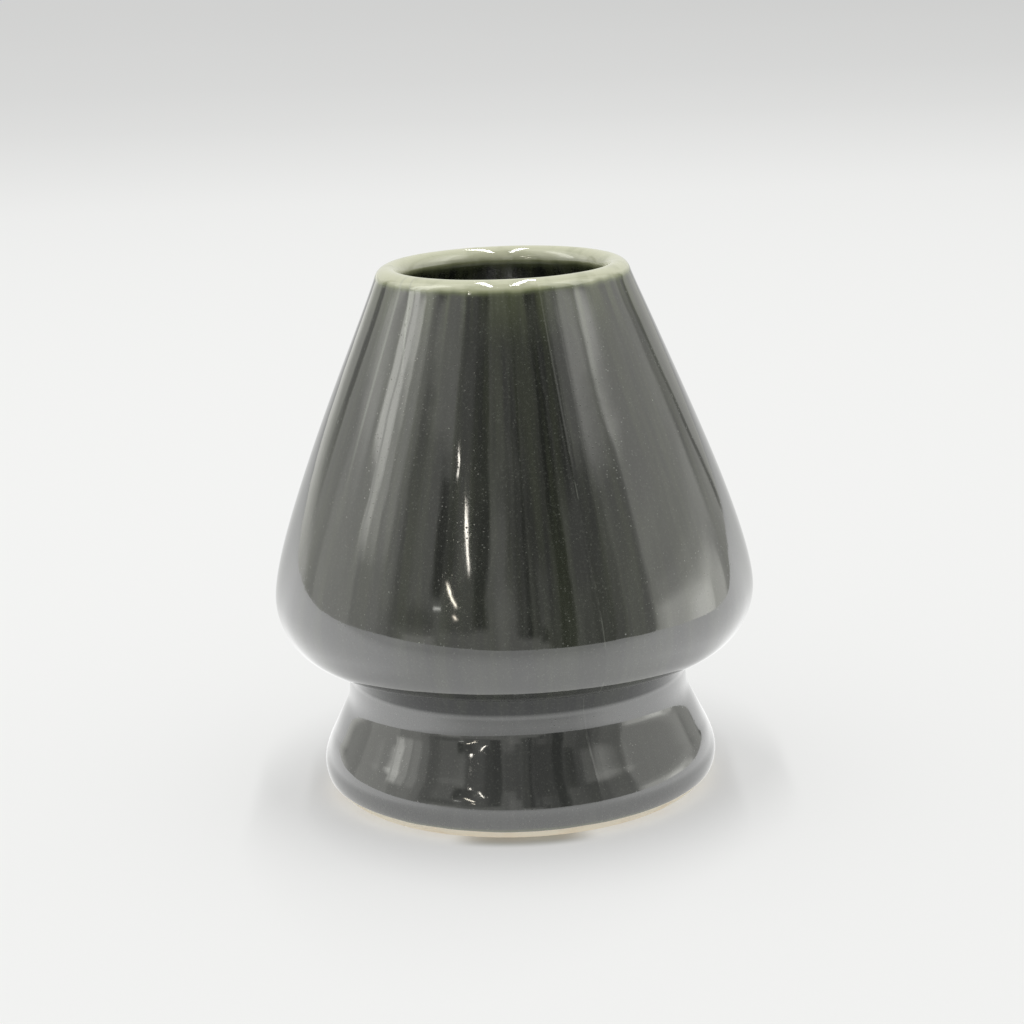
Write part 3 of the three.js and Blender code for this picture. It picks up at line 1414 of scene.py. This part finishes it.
@dataclass(frozen=True)
class PaperFinish:
    """Pale matt paper that falls off into shade towards the back and keeps a glow in shadows.

    Round the holder it glows brighter for reflection rays alone: a painted reflection in the glaze.
    """

    name: str
    paper: Colour = (0.60, 0.603, 0.592)
    glow: float = 0.33
    shade_stops: tuple[tuple[float, float], ...] = (
        (0.5, 1.0), (0.66, 0.995), (0.81, 0.955), (1.0, 0.917), (1.27, 0.905), (1.67, 0.92), (4, 0.93))
    shade_across: Span = (-0.5, 0.5, 1.03, 0.94)
    # The painted reflection: extra glow for reflection rays, in front of the holder and at its sides.
    reflection_glow_in_front: Span = (-130 * MM, -45 * MM, 0.2, 0.6)
    reflection_glow_aside: float = 0.48
    aside_turn: Span = (0.45, 1)
    aside_reach: Span = (34 * MM, 54 * MM)
    behind_turn: Span = (0.6, 0.97, 1, 0)
    # Where the painted contact shadow lies: its reach out from the axis, and its turn towards the front.
    painted_shadow_reach: Span = (25.5 * MM, 27.9 * MM, 1, 0)
    painted_shadow_turn: Span = (-0.99, -0.92, 1, 0)

    def strength(self, graph: Graph) -> Socket:
        """The glow's strength, brighter for reflection rays as a painted reflection, with a thin painted
        shadow line in front where the holder stands, seen by the camera alone.

        Args:
            graph: The material's node tree.

        Returns:
            The strength.
        """
        path = graph.add("LightPath").outputs
        back = graph.over(graph.y, graph.out)
        aside = graph.times(graph.ease(graph.over(graph.math("ABSOLUTE", graph.x), graph.out),
                                       *self.aside_turn),
                            graph.ease(graph.out, *self.aside_reach))
        # Painted reflection: extra glow seen by reflection rays alone, brighter round the holder and at
        # its sides.
        mirrored = graph.math("MULTIPLY_ADD", aside, self.reflection_glow_aside,
                              graph.ease(graph.y, *self.reflection_glow_in_front))
        mirrored = graph.times(mirrored, graph.ease(back, *self.behind_turn))
        strength = graph.math("MULTIPLY_ADD", path["Is Glossy Ray"], mirrored, self.glow)
        strength = graph.times(strength, graph.ease(graph.x, *self.shade_across))
        # Painted shadow: a thin dark line on the paper just in front of the holder, seen by the camera
        # alone.
        painted_contact_shadow = graph.times(graph.ease(graph.out, *self.painted_shadow_reach),
                              graph.ease(back, *self.painted_shadow_turn))
        seen = graph.times(painted_contact_shadow, path["Is Camera Ray"])
        return graph.times(strength, graph.math("SUBTRACT", 1, seen))

    def material(self) -> bpy.types.Material:
        """Builds the material.

        Returns:
            The paper.
        """
        graph = Graph(self.name)
        reach = self.shade_stops[-1][0]
        stops = tuple((place / reach, (level, level, level)) for place, level in self.shade_stops)
        shade = graph.ramp(graph.over(graph.y, reach), stops)
        matt = graph.add("BsdfDiffuse")
        graph.put(matt.inputs["Color"], graph.mix(1, self.paper, shade, "MULTIPLY"))
        both = graph.add("AddShader")
        graph.put(both.inputs[0], matt.outputs[0])
        graph.put(both.inputs[1], graph.glow(shade, self.strength(graph)))
        return graph.ended(both.outputs[0])


@dataclass(frozen=True)
class RoomPanel:
    """A soft-edged part of the mirrored room, by direction in degrees from the holder."""

    left: float
    right: float
    level: float
    low: float = -40
    high: float = 100
    blur: float = 2
    rise_blur: float = 3
    slant: float = 0
    tint: Colour = (1, 1, 0.94)

    def paint(self, graph: Graph, azimuth: object, elevation: object, under: object) -> Socket:
        """Lays the panel over what is behind it.

        Args:
            graph: The room's material.
            azimuth: The direction's azimuth, in degrees from the front towards +X.
            elevation: Its elevation in degrees.
            under: The colour behind.

        Returns:
            The colour with the panel.
        """
        if self.slant:
            middle = (self.low + self.high) / 2
            azimuth = graph.math("ADD", azimuth, graph.math("MULTIPLY_ADD", elevation, -self.slant,
                                                            self.slant * middle))
        across = graph.window(azimuth, self.left, self.right, self.blur)
        up = graph.window(elevation, self.low, self.high, self.rise_blur)
        colour = tuple(self.level * part for part in self.tint)
        return graph.mix(graph.times(across, up), under, colour)


@dataclass(frozen=True)
class RoomFinish:
    """The room's brightness by direction: pale walls and windows round a dark, folded front.

    The ground shows where no panel lies.
    """

    name: str
    ground: Colour = (0.85, 0.85, 0.799)
    walls: tuple[RoomPanel, ...] = (
        RoomPanel(-127, -112, 0.9),
        RoomPanel(-112, -84, 1.15),
        RoomPanel(-84, -68, 0.92),
        RoomPanel(-135, -127.5, 0.4, low=5.5, high=30, blur=1.5),
        RoomPanel(-165, -122, 1.5, high=2, blur=5, rise_blur=2.5),
        RoomPanel(-190, -80, 1.7, high=-2, rise_blur=1.5),
        RoomPanel(66, 122, 1.0),
        RoomPanel(122, 134, 0.6, low=6),
        RoomPanel(72, 122, 1.17, low=4.5, high=10, rise_blur=2),
        RoomPanel(71, 113, 1.95, high=5.3, blur=5, rise_blur=2.5),
        RoomPanel(91, 107, 2.8, high=2.3, blur=6, rise_blur=2.5),
        RoomPanel(107, 118, 1.8, high=2.5),
        RoomPanel(132, 135, 0.35, low=-6, high=20, blur=1, slant=-0.7),
        RoomPanel(135, 150, 1.5, high=-1.5, rise_blur=2))
    windows: tuple[RoomPanel, ...] = (
        RoomPanel(-116, -98, 1.7, low=15.5, high=20),
        RoomPanel(-118, -95, 1.35, low=21),
        RoomPanel(-94, -81, 3.0, low=18.5, high=60, blur=1.5, rise_blur=1.5),
        RoomPanel(-86.5, -81, 2.5, low=15, high=20, blur=1.5),
        RoomPanel(-88.2, -86.6, 2.0, low=14, high=60, blur=0.7),
        RoomPanel(-82, -74.5, 2.5, low=24.5, high=60, blur=1.5, rise_blur=2),
        RoomPanel(-81, -75, 1.6, low=15.5, high=24.5, blur=1.5),
        RoomPanel(-74, -67, 1.2, low=17),
        RoomPanel(66, 83, 2.15, low=25.5, high=60, blur=3.5, rise_blur=2.5),
        RoomPanel(83, 100, 1.6, low=25.5, high=60, rise_blur=2))
    front: tuple[RoomPanel, ...] = (
        RoomPanel(-67, -62, 0.75),
        RoomPanel(-62.5, 68, 0.53, blur=2.5),
        RoomPanel(-62, -46, 0.78, low=29, high=60, rise_blur=1.8),
        RoomPanel(-61, -53, 0.42, low=5, high=29, rise_blur=1.8),
        RoomPanel(-56, -38, 0.34, low=5, high=13),
        RoomPanel(-53, -38, 0.9, high=1.5, rise_blur=1.6),
        RoomPanel(-42, -36, 0.14, low=15.5, high=27.5, blur=1.8, rise_blur=1.5),
        RoomPanel(-52, -37, 0.72, low=29.5, high=60, rise_blur=1.5),
        RoomPanel(-36, -19, 0.33, low=4.5),
        RoomPanel(-36.5, -31, 0.19, low=18.5, high=28.5),
        RoomPanel(-28, -24, 0.46, low=20, high=28, blur=2.1),
        RoomPanel(-24, -19, 0.17, low=24),
        RoomPanel(-20, -12.5, 0.13, low=7, blur=1.9),
        RoomPanel(-12, -8, 0.47, high=25, blur=1.9),
        RoomPanel(-8, -3.5, 0.63, high=20, blur=2.1, rise_blur=4),
        RoomPanel(-12, -1, 0.3, low=29, high=60),
        RoomPanel(-3.5, 0.5, 0.26, low=19, blur=2.1, rise_blur=4),
        RoomPanel(0.5, 4.5, 0.19, low=2.5, blur=2.1),
        RoomPanel(4.3, 8.3, 0.1, low=2.5, blur=1.9),
        RoomPanel(8.3, 12.3, 0.2, low=2.5, blur=1.9),
        RoomPanel(12, 16.5, 0.3, low=10.5, blur=1.9),
        RoomPanel(12, 16.5, 0.16, low=-2, high=9, blur=1.9),
        RoomPanel(16, 20.5, 0.21, blur=2.1),
        RoomPanel(8, 20, 0.17, low=22, blur=2),
        RoomPanel(20.3, 28.3, 0.06, blur=1.9),
        RoomPanel(28.3, 36.3, 0.31, blur=1.9),
        RoomPanel(28, 36, 0.12, low=27.5),
        RoomPanel(36, 48.5, 0.25, blur=2),
        RoomPanel(40, 50, 0.55, low=28.5, high=60, rise_blur=1.5),
        RoomPanel(47.5, 53, 0.38, high=28),
        RoomPanel(52.5, 68, 0.5, low=11, high=25),
        RoomPanel(50, 66.5, 1.35, low=27, high=60, blur=4, rise_blur=3),
        RoomPanel(-45, 4, 0.24, low=36, high=80, rise_blur=3),
        RoomPanel(4, 45, 0.18, low=36, high=80, rise_blur=3))
    lamps: tuple[RoomPanel, ...] = (
        RoomPanel(-33.3, -31.8, 15, low=28.8, high=29.6, blur=0.4, rise_blur=0.35,
                  tint=(1, 0.95, 0.85)),
        RoomPanel(-25, -24.1, 14, low=21.5, high=27.5, blur=0.35, rise_blur=0.6, slant=-0.65,
                  tint=(1, 0.95, 0.85)),
        RoomPanel(-31.6, -30.3, 15, low=14.2, high=18.3, blur=0.45, rise_blur=0.6, slant=-1.35,
                  tint=(1, 0.93, 0.78)),
        RoomPanel(-39.5, -36, 4.4, low=12.8, high=13.4, blur=0.8, rise_blur=0.4),
        RoomPanel(-29, -27.6, 10, low=10.2, high=11.6, blur=0.4, rise_blur=0.4, slant=-1,
                  tint=(1, 0.9, 0.75)))

    def material(self) -> bpy.types.Material:
        """Builds the material.

        Returns:
            The room's glow.
        """
        graph = Graph(self.name)
        front = graph.times(graph.y, -1)
        azimuth = graph.times(graph.math("ARCTAN2", graph.x, front), math.degrees(1))
        elevation = graph.times(graph.math("ARCTAN2", graph.height, graph.out), math.degrees(1))
        colour = self.ground
        for panel in (*self.walls, *self.windows, *self.front, *self.lamps):
            colour = panel.paint(graph, azimuth, elevation, colour)
        return graph.ended(graph.glow(colour))


@dataclass(frozen=True)
class Studio:
    """The pale table, the room that the glaze mirrors, and the lights."""

    table: tuple[tuple[float, float], ...] = (
        (-0.90, -0.50), (-0.32, -0.31), (-0.149, -0.258), (-0.07, -0.216), (0.0, -0.203),
        (0.065, -0.19), (0.138, -0.145), (0.19, -0.09), (0.20, 0.0), (0.215, 0.06),
        (0.285, 0.139), (0.56, 0.378), (1.0, 0.75), (1.0, 3.0), (-0.90, 3.0))
    floor_reach: float = 6
    floor_drop: float = 0.05 * MM
    room_radius: float = 5
    rounds: int = 96
    strips: tuple[CeilingStrip, ...] = (
        CeilingStrip("left strip", across=-0.16, front=-0.55, back=0.45),
        CeilingStrip("right strip", across=0.15, front=-0.45, back=0.9))
    backdrop: float = 0.92
    ambient: float = 0.72

    def lay_table(self) -> None:
        """Lays the table top that the glaze mirrors, and the floor that goes on beyond it."""
        paper = PaperFinish("pale paper").material()
        Bench.clear()
        bpy.ops.mesh.primitive_circle_add(vertices=len(self.table), radius=1, fill_type="NGON")
        table = bpy.context.active_object
        for vertex, corner in zip(table.data.vertices, self.table):
            vertex.co = (*corner, 0)
        self.stage(table, "table", paper, Seen.BY_ALL)
        Bench.clear()
        bpy.ops.mesh.primitive_circle_add(vertices=self.rounds, radius=self.floor_reach,
                                          fill_type="NGON", location=(0, 0, -self.floor_drop))
        self.stage(bpy.context.active_object, "floor", paper, Seen.BY_EYE_AND_LIGHT)

    def raise_room(self) -> None:
        """Raises the round room that only the glaze mirrors."""
        Bench.clear()
        bpy.ops.mesh.primitive_uv_sphere_add(segments=self.rounds, ring_count=self.rounds // 2,
                                             radius=self.room_radius)
        room = bpy.context.active_object
        self.stage(room, "mirrored room", RoomFinish("mirrored room").material(), Seen.BY_GLAZE)

    @staticmethod
    def stage(piece: Piece, name: str, material: bpy.types.Material, seen: Seen) -> None:
        """Makes a piece part of the stage.

        Args:
            piece: The piece.
            name: Its name.
            material: Its finish.
            seen: Which rays see it.
        """
        piece.name = name
        piece.data.materials.append(material)
        if seen is Seen.BY_GLAZE:
            piece.visible_camera = False
            piece.visible_diffuse = False
            piece.visible_shadow = False
            piece.visible_transmission = False
        elif seen is Seen.BY_EYE_AND_LIGHT:
            piece.visible_glossy = False
        log.info("%s: seen by %s", name, seen.value)

    def light_world(self) -> None:
        """Lights the world softly, and shows it pale to the camera and to reflections."""
        world = bpy.data.worlds.new("soft light")
        bpy.context.scene.world = world
        world.use_nodes = True
        tree = world.node_tree
        tree.nodes.clear()
        path = tree.nodes.new("ShaderNodeLightPath")
        seen = path.outputs["Is Camera Ray"]
        for name in ("Is Glossy Ray", "Is Transmission Ray"):
            either = tree.nodes.new("ShaderNodeMath")
            either.operation = "MAXIMUM"
            tree.links.new(seen, either.inputs[0])
            tree.links.new(path.outputs[name], either.inputs[1])
            seen = either.outputs[0]
        level = tree.nodes.new("ShaderNodeMapRange")
        level.inputs["To Min"].default_value = self.ambient
        level.inputs["To Max"].default_value = self.backdrop
        background = tree.nodes.new("ShaderNodeBackground")
        output = tree.nodes.new("ShaderNodeOutputWorld")
        tree.links.new(seen, level.inputs["Value"])
        tree.links.new(level.outputs[0], background.inputs["Strength"])
        tree.links.new(background.outputs[0], output.inputs[0])

    def build(self) -> None:
        """Sets up the stage and the lights."""
        self.lay_table()
        self.raise_room()
        self.light_world()
        for strip in self.strips:
            strip.build()


def main() -> None:
    """Builds the stage and the holder."""
    logging.basicConfig(level=logging.INFO, format="%(relativeCreated)6d ms  %(message)s",
                        stream=sys.stdout)
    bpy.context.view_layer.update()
    casting = Casting()
    ViewPoint().build()
    Studio().build()
    for piece in (ClayBody("fired_clay", "clay_body", "bare_clay", casting),
                  OuterCoat("dipped_glaze", "outer_glaze", "dark_glaze", casting),
                  Lining("poured_lining", "inner_glaze", "lining_glaze", casting)):
        piece.build()
        piece.dress()


if __name__ == "__main__":
    main()
